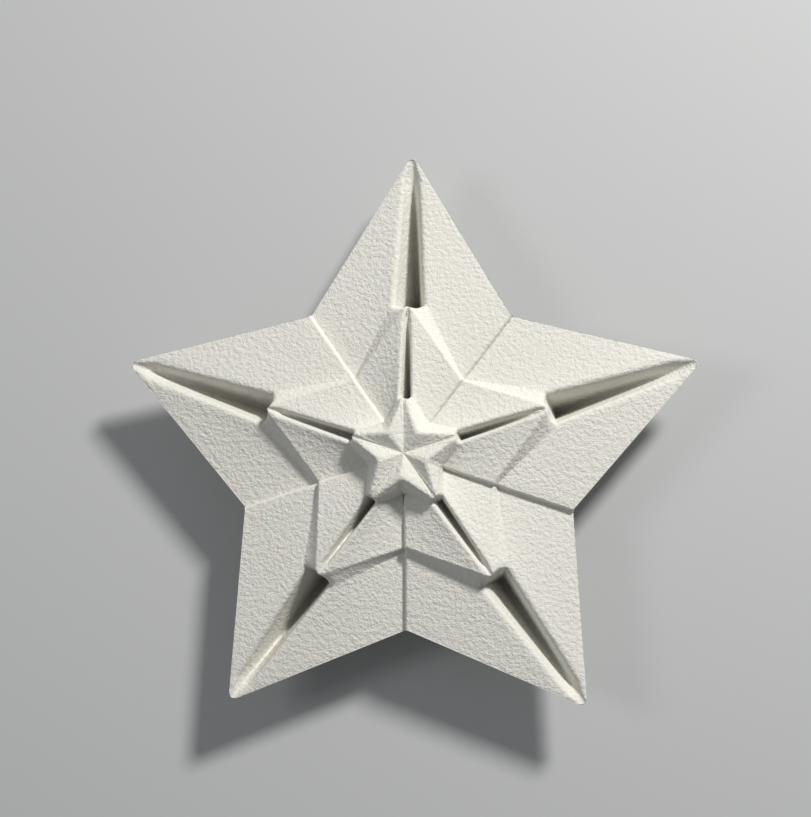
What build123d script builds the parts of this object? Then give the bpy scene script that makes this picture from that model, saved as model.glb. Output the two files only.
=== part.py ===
from build123d import *
from dataclasses import dataclass, replace
import math
import os

# An origami star folded from one sheet of thick paper.
# Three five-pointed stars stand one in front of the other: a large outer star, a
# middle star and a small domed inner star.  The middle of the sheet is the middle
# of the inner star, and the raw edge of the sheet is the outline of the outer star.
# The star lies on its back.  +Z is its front, +Y is along one arm, and the origin is
# the middle of the footprint, on the plane that it rests on.
# Sizes are in millimetres.  Heights are of the paper's middle, above the outer tips.

arms = 5
paper = 0.5              # thickness of the paper

# The outlines: radius at the tips, and at the notches between the arms
outer_tip = 79.5
outer_notch = 46.0
middle_tip = 38.8
middle_notch = 24.3
inner_tip = 14.1
inner_notch = 9.6
rim_tip = 13.0           # raised rim of the inner star
rim_notch = 6.7

# Heights along the arms
outer_root_height = 2.9
middle_tip_height = 6.6
middle_neck_height = 7.8
inner_tip_height = 10.6

# Heights along the notches
outer_notch_height = 0.5
outer_root_notch_height = 2.6
middle_notch_height = 4.4
middle_neck_notch_height = 5.6
inner_notch_height = 8.8
rim_notch_height = 12.6
centre_height = 10.2

# The slot along the middle of each arm
slot_slope = 0.466       # how steeply its floor drops, going in from the tip
slot_start = 1.0         # distance from the tip to where it starts
middle_slot_depth = 9.0  # deepest, beside the inner star
floor_half = 0.45        # half the width of the fold at its floor
outer_mouth = 1.5        # half the width of its mouth, near the tip
outer_flare = 0.06       # how fast the mouth widens, going in
middle_mouth = 0.8
middle_flare = 0.03
outer_roll = 1.1         # radius of its soft lips
middle_roll = 0.6

# The pleats between the arms, each arm over the next one clockwise
pleat_step = 1.5         # how far the covering arm stands above the next
pleat_lap = 0.45         # half the width of the fold between them

wall_spread = 0.35       # how far the foot of a fold stands out from its crest

half_arm = math.pi / arms


@dataclass
class Ring:
    """One closed line round the sheet, through every fold between the arms."""

    tip: float
    notch: float
    tip_height: float
    notch_height: float
    mouth: float
    roll: float
    depth: float
    floor: float = floor_half
    nose: bool = False
    ridge: bool = False

    def lip(self):
        return self.mouth + self.roll

    def slot_side(self):
        """One side of the slot, from its floor to its rolled lip."""
        drop = min(self.roll, 0.5 * self.depth)
        profile = (
            (self.floor, self.depth),
            (self.mouth, drop),
            (self.mouth + 0.3 * self.roll, 0.3 * drop),
            (self.lip(), 0.0),
        )
        for across, down in profile:
            rounding = 0.78 * self.lip() * (across / self.lip()) ** 2 if self.nose else 0.0
            yield self.tip - rounding, across, self.tip_height - down

    def pleat(self):
        """The covering crest, then the valley beside it, square to the notch line."""
        lift = 0.0 if self.ridge else pleat_step / 2
        yield -pleat_lap, self.notch_height + lift
        yield 0.0, self.notch_height + 0.8 * lift
        yield 0.0 + 0.4 * pleat_lap, self.notch_height - 0.8 * lift
        yield pleat_lap + 0.1, self.notch_height - lift

    def points(self):
        found = []
        for arm in range(arms):
            heading = 2 * half_arm * arm
            side = list(self.slot_side())
            for along, across, height in reversed(side):
                found.append(place(heading, along, -across, height))
            for along, across, height in side:
                found.append(place(heading, along, across, height))
            for sideways, height in self.pleat():
                found.append(place(heading + half_arm, self.notch, sideways, height))
        return found


def place(heading, along, across, height):
    """A point along and across a line that heads clockwise from +Y."""
    x = along * math.sin(heading) + across * math.cos(heading)
    y = along * math.cos(heading) - across * math.sin(heading)
    return (x, y, height)


def inner_ring(tip, notch, tip_height, notch_height):
    return Ring(tip, notch, tip_height, notch_height, 0.55, 0.5, 0.5, 0.25, True, True)


def middle_ring(tip, notch, tip_height, notch_height):
    inset = middle_tip - tip
    depth = min(middle_slot_depth, slot_slope * (inset - slot_start))
    mouth = middle_mouth + middle_flare * inset
    return Ring(tip, notch, tip_height, notch_height, mouth, middle_roll, depth)


def outer_ring(tip, notch, tip_height, notch_height):
    inset = outer_tip - tip
    depth = slot_slope * (inset - slot_start)
    mouth = outer_mouth + outer_flare * inset
    return Ring(tip, notch, tip_height, notch_height, mouth, outer_roll, depth)


def rings():
    """From the rim of the inner star out to the raw edge."""
    foot = 2 * wall_spread
    middle_end = Ring(middle_tip, middle_notch, middle_tip_height, middle_notch_height,
                      0.6, 0.5, 0.3, 0.25, True)
    outer_start = replace(
        outer_ring(outer_tip - 1.9, outer_notch - 1.0, 0.1, outer_notch_height + 0.1),
        mouth=1.0, roll=0.7, depth=0.8, floor=0.4)
    outer_end = Ring(outer_tip, outer_notch, 0.0, outer_notch_height, 0.75, 0.65, 0.15, 0.3, True)
    return [
        inner_ring(rim_tip, rim_notch, inner_tip_height + 0.4, rim_notch_height),
        inner_ring(inner_tip, inner_notch, inner_tip_height, inner_notch_height),
        middle_ring(inner_tip + foot, inner_notch + foot, middle_neck_height,
                    middle_neck_notch_height),
        middle_ring(middle_tip - 3.0, middle_notch - 2.0, middle_tip_height + 0.1,
                    middle_notch_height + 0.1),
        middle_end,
        outer_ring(middle_tip + foot, middle_notch + foot, outer_root_height,
                   outer_root_notch_height),
        outer_ring(outer_tip - 5.5, outer_notch - 3.0, 0.3, outer_notch_height + 0.3),
        outer_start,
        outer_end,
    ]


def net():
    """Points of the paper's middle surface, the triangles between them, and a ring's count."""
    points = [(0.0, 0.0, centre_height)]
    triangles = []
    for number, ring in enumerate(rings()):
        line = ring.points()
        count = len(line)
        start = len(points)
        points.extend(line)
        for here in range(count):
            there = (here + 1) % count
            if number == 0:
                triangles.append((0, start + there, start + here))
            else:
                inside, inside_next = start - count + here, start - count + there
                triangles.append((inside, inside_next, start + there))
                triangles.append((inside, start + there, start + here))
    return points, triangles, count


def faced(points, triangles, distance):
    """The points moved square to the paper, so that the paper keeps its thickness."""
    leans = [[] for _ in points]
    for corners in triangles:
        for turn in range(3):
            first, second, third = (Vector(*points[corners[(turn + k) % 3]]) for k in range(3))
            out, back = second - first, third - first
            square = out.cross(back)
            leans[corners[turn]].append((square.normalized(), math.atan2(square.length, out.dot(back))))
    moved = []
    for point, faces in zip(points, leans):
        total = sum((normal * angle for normal, angle in faces), Vector(0, 0, 0))
        way = total.normalized()
        spread = sum(way.dot(normal) * angle for normal, angle in faces)
        stretch = min(sum(angle for normal, angle in faces) / spread, 1.4)
        moved.append(Vector(*point) + way * (distance * stretch))
    return moved


def build():
    points, triangles, count = net()
    front = faced(points, triangles, -paper / 2)
    back = faced(points, triangles, paper / 2)
    return points, triangles, count, front, back


def folded_sheet():
    points, triangles, count, front, back = build()
    corners = [[front[i] for i in t] for t in triangles]
    corners += [[back[i] for i in reversed(t)] for t in triangles]
    last = len(points) - count
    for here in range(last, len(points)):
        there = last + (here + 1 - last) % count
        corners.append([front[there], front[here], back[here]])
        corners.append([front[there], back[here], back[there]])
    shell = Shell([Face(Wire.make_polygon(c, close=True)) for c in corners])
    sheet = Solid(shell)
    box = sheet.bounding_box()
    middle = box.center()
    return sheet.moved(Location((-middle.X, -middle.Y, -box.min.Z)))


if __name__ == "__main__":
    os.makedirs("parts", exist_ok=True)
    sheet = folded_sheet()
    sheet.label = "folded_sheet"
    export_step(sheet, "parts/folded_sheet.step")
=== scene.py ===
import math

import bpy
import numpy as np
from mathutils import Matrix, Vector, noise


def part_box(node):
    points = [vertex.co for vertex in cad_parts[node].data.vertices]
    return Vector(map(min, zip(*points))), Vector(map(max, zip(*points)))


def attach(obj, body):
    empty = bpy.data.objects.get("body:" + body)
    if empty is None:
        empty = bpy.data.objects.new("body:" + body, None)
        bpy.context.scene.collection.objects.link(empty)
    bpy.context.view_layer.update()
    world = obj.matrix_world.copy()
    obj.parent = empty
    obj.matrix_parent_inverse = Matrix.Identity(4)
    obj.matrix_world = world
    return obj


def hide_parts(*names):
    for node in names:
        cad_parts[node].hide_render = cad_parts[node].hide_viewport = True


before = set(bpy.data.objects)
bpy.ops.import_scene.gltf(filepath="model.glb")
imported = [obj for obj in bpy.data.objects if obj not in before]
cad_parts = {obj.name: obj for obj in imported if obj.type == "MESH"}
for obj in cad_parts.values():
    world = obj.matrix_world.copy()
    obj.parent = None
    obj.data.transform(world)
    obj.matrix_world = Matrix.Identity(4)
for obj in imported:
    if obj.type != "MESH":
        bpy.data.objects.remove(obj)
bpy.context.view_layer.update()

low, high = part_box("folded_sheet")

# Sizes of the sheet's middle surface in millimetres, heights above the outer tips.
# They repeat the sizes of the CAD sheet.
MM = 0.001
ARMS = 5
HALF_ARM = math.pi / ARMS
PAPER = 0.5
OUTER_TIP = 79.5
MIDDLE_TIP = 38.8
CENTRE_HEIGHT = 10.2
SLOT_SLOPE = 0.466
SLOT_START = 1.0
DEEPEST_MIDDLE_SLOT = 9.0
NOSE = 0.78                # a rounded tip's lips draw back by this share of their reach
MIDDLE_MOUTH = 0.8         # half a slot's opening at its tip
MIDDLE_FLARE = 0.03        # what that gains for each millimetre inwards
MIDDLE_ROLL = 0.6          # the rounding of a slot's lip
OUTER_MOUTH = 1.5
OUTER_FLARE = 0.06
OUTER_ROLL = 1.1

# Where the star stands in the sheet's box.  One arm points along +Y.
TIP_ALLOWANCE = 0.2        # what the raw edge is taken to add at that arm's tip
TOP_HEIGHT = 12.92         # the box's top above the outer tips
AXIS_X = 0.5 * (low.x + high.x)
AXIS_Y = high.y - (OUTER_TIP + TIP_ALLOWANCE) * MM
TIP_PLANE = high.z - TOP_HEIGHT * MM

# The step between two arms: a narrow ramp from the covering arm to the next.
PLEAT_LIFT = 0.75          # half the step
PLEAT_HALF_WIDTH = 0.45
PLEAT_LEAN = 0.1           # the ramp reaches this much further on its low side
PLEAT_FULL_NOTCH = 6.0     # nearer the centre than this the ramp narrows

FLAP_STEPS = 16            # faces across a flap, from a slot's lip to a pleat
LIP_STEPS = 6
PLEAT_STEPS = 8
WALL_PLACES = (0.15, 0.3, 0.45, 0.6, 0.75, 0.9)
FLOOR_CURVE = 0.985        # the depth at the foot of a slot's wall, as a share of the deepest
CENTRE_PLACES = (0.08, 0.16, 0.3, 0.45, 0.6, 0.75, 0.9)

# Hand-made unevenness: (height in mm, waves for each mm, place in the pattern)
BROAD_SWELL = (0.05, 0.09, Vector((0, 0, 0)))
FINE_SWELL = (0.035, 0.9, Vector((7, 3, 1)))


def lerp(a, b, t):
    return a + (b - a) * t


def ease(t):
    return t * t * (3 - 2 * t)


def ring(tip, notch, tip_z, notch_z, mouth, roll, depth, floor=0.45, nose=0.0, lift=PLEAT_LIFT):
    """One line round the star: its radii and heights at tips and notches, and its slots."""
    return dict(tip=tip, notch=notch, tip_z=tip_z, notch_z=notch_z, mouth=mouth, roll=roll,
                depth=depth, floor=floor, nose=nose, lift=lift)


def inner_ring(tip, notch, tip_z, notch_z):
    return ring(tip, notch, tip_z, notch_z, mouth=0.55, roll=0.5, depth=0.5, floor=0.25,
                nose=NOSE, lift=0.0)


def middle_ring(tip, notch, tip_z, notch_z):
    inset = MIDDLE_TIP - tip
    depth = min(DEEPEST_MIDDLE_SLOT, SLOT_SLOPE * (inset - SLOT_START))
    return ring(tip, notch, tip_z, notch_z, MIDDLE_MOUTH + MIDDLE_FLARE * inset, MIDDLE_ROLL, depth)


def outer_ring(tip, notch, tip_z, notch_z):
    inset = OUTER_TIP - tip
    depth = SLOT_SLOPE * (inset - SLOT_START)
    return ring(tip, notch, tip_z, notch_z, OUTER_MOUTH + OUTER_FLARE * inset, OUTER_ROLL, depth)


RIM = inner_ring(13.0, 6.7, 11.0, 12.6)
INNER = inner_ring(14.1, 9.6, 10.6, 8.8)
NECK = middle_ring(14.8, 10.3, 7.8, 5.6)
NEAR = middle_ring(35.8, 22.3, 6.7, 4.5)
MIDDLE = ring(MIDDLE_TIP, 24.3, 6.6, 4.4, mouth=0.6, roll=0.5, depth=0.3, floor=0.25, nose=NOSE)
ROOT = outer_ring(39.5, 25.0, 2.9, 2.6)
FAR = outer_ring(74.0, 43.0, 0.3, 0.8)
START = dict(outer_ring(77.6, 45.0, 0.1, 0.6), mouth=1.0, roll=0.7, depth=0.8, floor=0.4)
EDGE = ring(OUTER_TIP, 46.0, 0.0, 0.5, mouth=0.75, roll=0.65, depth=0.15, floor=0.3, nose=NOSE)
CENTRE = dict(RIM, tip=0.0, notch=0.0, mouth=0.0, roll=0.0, depth=0.0, floor=0.0,
              tip_z=CENTRE_HEIGHT, notch_z=CENTRE_HEIGHT)
STRETCHES = ((RIM, INNER, 6), (INNER, NECK, 6), (NECK, NEAR, 34), (NEAR, MIDDLE, 8),
             (MIDDLE, ROOT, 6), (ROOT, FAR, 56), (FAR, START, 8), (START, EDGE, 5))


def blend(a, b, t):
    return {name: lerp(a[name], b[name], t) for name in a}


def all_rings():
    """Every line round the star, from the centre out to the raw edge."""
    rings = [blend(CENTRE, RIM, place) for place in CENTRE_PLACES] + [RIM]
    for near, far, steps in STRETCHES:
        rings += [blend(near, far, i / steps) for i in range(1, steps + 1)]
    return rings


def side_profile(r):
    """Half of a slot, from the middle of its floor to its lip, as (along, across, height)."""
    lip = r["mouth"] + r["roll"]
    drop = min(r["roll"], 0.5 * r["depth"])
    line = [(0.0, r["depth"]), (r["floor"], r["depth"] * FLOOR_CURVE)]
    for t in WALL_PLACES:
        line.append((lerp(r["floor"], r["mouth"], t), lerp(r["depth"], drop, t)))
    for i in range(LIP_STEPS + 1):
        turn = math.pi / 2 * i / LIP_STEPS
        line.append((r["mouth"] + r["roll"] * (1 - math.cos(turn)), drop * (1 - math.sin(turn))))
    return [(r["tip"] - r["nose"] * lip * (across / lip) ** 2, across, r["tip_z"] - down)
            for across, down in line]


def pleat_profile(r):
    """The ramp between two arms, as (across the notch line, height)."""
    narrow = min(1.0, r["notch"] / PLEAT_FULL_NOTCH)
    line = []
    for i in range(PLEAT_STEPS + 1):
        t = i / PLEAT_STEPS
        across = lerp(-PLEAT_HALF_WIDTH, PLEAT_HALF_WIDTH + PLEAT_LEAN, t) * narrow
        line.append((across, r["notch_z"] + r["lift"] * math.cos(math.pi * ease(t))))
    return line


def place(heading, along, across, height):
    return (along * math.sin(heading) + across * math.cos(heading),
            along * math.cos(heading) - across * math.sin(heading), height)


def flap(start, end):
    """The points strictly between two edges of a flat flap."""
    return [tuple(lerp(a, b, i / FLAP_STEPS) for a, b in zip(start, end))
            for i in range(1, FLAP_STEPS)]


def ring_points(r):
    """One line round the star as points, clockwise from the +Y arm's left lip."""
    side, pleat = side_profile(r), pleat_profile(r)
    lip_along, lip_across, lip_height = side[-1]
    points = []
    for arm in range(ARMS):
        heading = 2 * HALF_ARM * arm
        points += [place(heading, a, -c, h) for a, c, h in reversed(side[1:])]
        points += [place(heading, a, c, h) for a, c, h in side]
        ramp = [place(heading + HALF_ARM, r["notch"], c, h) for c, h in pleat]
        next_lip = place(heading + 2 * HALF_ARM, lip_along, -lip_across, lip_height)
        points += flap(points[-1], ramp[0]) + ramp + flap(ramp[-1], next_lip)
    return points


def middle_surface():
    """Points in millimetres, faces that look up, and the numbers of the raw edge's points."""
    rows = [ring_points(r) for r in all_rings()]
    count = len(rows[0])
    points = [(0.0, 0.0, CENTRE_HEIGHT)] + [point for row in rows for point in row]
    faces = [(1 + i, 1 + (i + 1) % count, 0) for i in range(count)]
    for row in range(1, len(rows)):
        a, b = 1 + (row - 1) * count, 1 + row * count
        for i in range(count):
            j = (i + 1) % count
            faces.append((b + i, b + j, a + j, a + i))
    edge = [1 + (len(rows) - 1) * count + i for i in range(count)]
    return points, faces, edge


def point_normals(points, faces):
    mesh = bpy.data.meshes.new("middle_surface")
    mesh.from_pydata(points, [], faces)
    mesh.update()
    normals = np.array([vertex.normal[:] for vertex in mesh.vertices])
    bpy.data.meshes.remove(mesh)
    return normals


def swell(point):
    """How far the paper's middle stands off its true place, in millimetres."""
    spot = Vector(point)
    return sum(height * noise.noise(spot * waves + start)
               for height, waves, start in (BROAD_SWELL, FINE_SWELL))


def paper_star():
    """The sheet: the middle surface, thickened both ways and closed along its raw edge."""
    points, faces, edge = middle_surface()
    normals = point_normals(points, faces)
    off = np.array([swell(point) for point in points])
    middle = np.array(points)
    front = middle + normals * (PAPER / 2 + off)[:, None]
    back = middle - normals * (PAPER / 2 - off)[:, None]
    corners = np.vstack([front, back]) * MM + np.array((AXIS_X, AXIS_Y, TIP_PLANE))
    count = len(points)
    sides = faces + [tuple(k + count for k in reversed(face)) for face in faces]
    for a, b in zip(edge, edge[1:] + edge[:1]):
        sides.append((a, b, b + count, a + count))
    mesh = bpy.data.meshes.new("paper_star_sheet")
    mesh.from_pydata(corners.tolist(), [], sides)
    mesh.update()
    for polygon in mesh.polygons:
        polygon.use_smooth = True
    star = bpy.data.objects.new("paper_star", mesh)
    bpy.context.scene.collection.objects.link(star)
    return star


class Value:
    """A shader value: sums and products of it add Math nodes."""

    def __init__(self, tree, out):
        self.tree, self.out = tree, out

    def node(self, kind, settings, sockets, output):
        """Any other node: its settings first, then its sockets' values or links."""
        made = self.tree.nodes.new(kind)
        for name, setting in settings.items():
            setattr(made, name, setting)
        for name, value in sockets.items():
            if isinstance(value, Value):
                self.tree.links.new(value.out, made.inputs[name])
            else:
                made.inputs[name].default_value = value
        return Value(self.tree, made.outputs[output])

    def math(self, operation, other):
        return self.node("ShaderNodeMath", {"operation": operation}, {0: self, 1: other}, 0)

    def __add__(self, other):
        return self.math("ADD", other)

    def __mul__(self, other):
        return self.math("MULTIPLY", other)

    __radd__ = __add__
    __rmul__ = __mul__


SHADED_CREAM = (0.74, 0.725, 0.66, 1)
LIT_CREAM = (0.82, 0.805, 0.745, 1)
MIX_FACTOR, MIX_FIRST, MIX_SECOND, MIX_RESULT = 0, 6, 7, 2   # the Mix node's colour sockets
GRAIN_SCALE = 900.0
PIT_SCALE = 2600.0
CLOUD_SCALE = 35.0


def new_material(name):
    look = bpy.data.materials.new(name)
    look.use_nodes = True
    return look, look.node_tree.nodes["Principled BSDF"]


def noise_value(spot, **sockets):
    return spot.node("ShaderNodeTexNoise", {}, {"Vector": spot, **sockets}, "Fac")


def cream_paper():
    """Cold-press paper: grain and pits in the relief, faint clouds in the colour."""
    look, shader = new_material("cream_cold_press_paper")
    tree = look.node_tree
    spot = Value(tree, tree.nodes.new("ShaderNodeTexCoord").outputs["Object"])
    grain = noise_value(spot, Scale=GRAIN_SCALE, Detail=3.0, Roughness=0.55)
    pits = noise_value(spot, Scale=PIT_SCALE, Detail=2.0, Roughness=0.5)
    clouds = noise_value(spot, Scale=CLOUD_SCALE, Detail=2.0)
    relief = spot.node("ShaderNodeBump", {}, {"Height": grain * 0.75 + pits * 0.25,
                                              "Strength": 0.62, "Distance": 0.0011}, "Normal")
    colour = spot.node("ShaderNodeMix", {"data_type": "RGBA"},
                       {MIX_FACTOR: clouds * 0.6 + grain * 0.4,
                        MIX_FIRST: SHADED_CREAM, MIX_SECOND: LIT_CREAM}, MIX_RESULT)
    tree.links.new(relief.out, shader.inputs["Normal"])
    tree.links.new(colour.out, shader.inputs["Base Color"])
    tree.links.new((grain * 0.12 + 0.72).out, shader.inputs["Roughness"])
    shader.inputs["Specular IOR Level"].default_value = 0.25
    return look


def pale_floor():
    look, shader = new_material("pale_floor")
    shader.inputs["Base Color"].default_value = (0.55, 0.56, 0.56, 1)
    shader.inputs["Roughness"].default_value = 0.9
    return look


def lay_floor():
    bpy.ops.mesh.primitive_plane_add(size=6.0, location=(0, 0, 0))
    floor = bpy.context.object
    floor.name = "floor"
    floor.data.materials.append(pale_floor())


def hang_lamp(name, direction, distance, size, power, colour=(1, 1, 1)):
    """A round lamp that faces the star from a given side."""
    data = bpy.data.lights.new(name, "AREA")
    data.shape = "DISK"
    data.size = size
    data.energy = power
    data.color = colour
    lamp = bpy.data.objects.new(name, data)
    bpy.context.scene.collection.objects.link(lamp)
    way = Vector(direction).normalized()
    lamp.location = star_centre + way * distance
    lamp.rotation_euler = (-way).to_track_quat("-Z", "Y").to_euler()


def light_world():
    world = bpy.data.worlds.new("studio")
    world.use_nodes = True
    background = world.node_tree.nodes["Background"]
    background.inputs["Color"].default_value = (0.75, 0.78, 0.82, 1)
    background.inputs["Strength"].default_value = 0.20
    bpy.context.scene.world = world


# The camera looks down on the star from a little to its right and below.
CAMERA_DISTANCE = 0.60
CAMERA_RIGHT = math.radians(8.0)
CAMERA_BELOW = math.radians(5.0)
AIM_OFFSET = Vector((-0.0005, 0.0122, 0.004))
VIEW_HEIGHT = 0.21517      # what the view's height takes in at the star, in metres
SENSOR = 36.0


def place_camera():
    data = bpy.data.cameras.new("camera")
    data.sensor_width = SENSOR
    data.lens = SENSOR * CAMERA_DISTANCE / VIEW_HEIGHT
    camera = bpy.data.objects.new("camera", data)
    bpy.context.scene.collection.objects.link(camera)
    bpy.context.scene.camera = camera
    back = Vector((math.sin(CAMERA_RIGHT), -math.sin(CAMERA_BELOW), 1.0)).normalized()
    spot = star_centre + AIM_OFFSET + back * CAMERA_DISTANCE
    up = back.cross(Vector((1, 0, 0))).normalized()
    right = up.cross(back).normalized()
    rows = [(right[i], up[i], back[i], spot[i]) for i in range(3)]
    camera.matrix_world = Matrix((*rows, (0, 0, 0, 1)))


star_centre = Vector((AXIS_X, AXIS_Y, TIP_PLANE))

star = paper_star()
star.data.materials.append(cream_paper())
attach(star, "root")
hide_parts("folded_sheet")

lay_floor()
hang_lamp("key_lamp", direction=(0.62, 0.80, 0.75), distance=0.9, size=0.16, power=8.5,
          colour=(1.0, 0.985, 0.96))
hang_lamp("side_lamp", direction=(-0.9, 0.1, 0.9), distance=1.1, size=0.4, power=1.6)
light_world()
place_camera()
bpy.context.scene.view_settings.view_transform = "Standard"
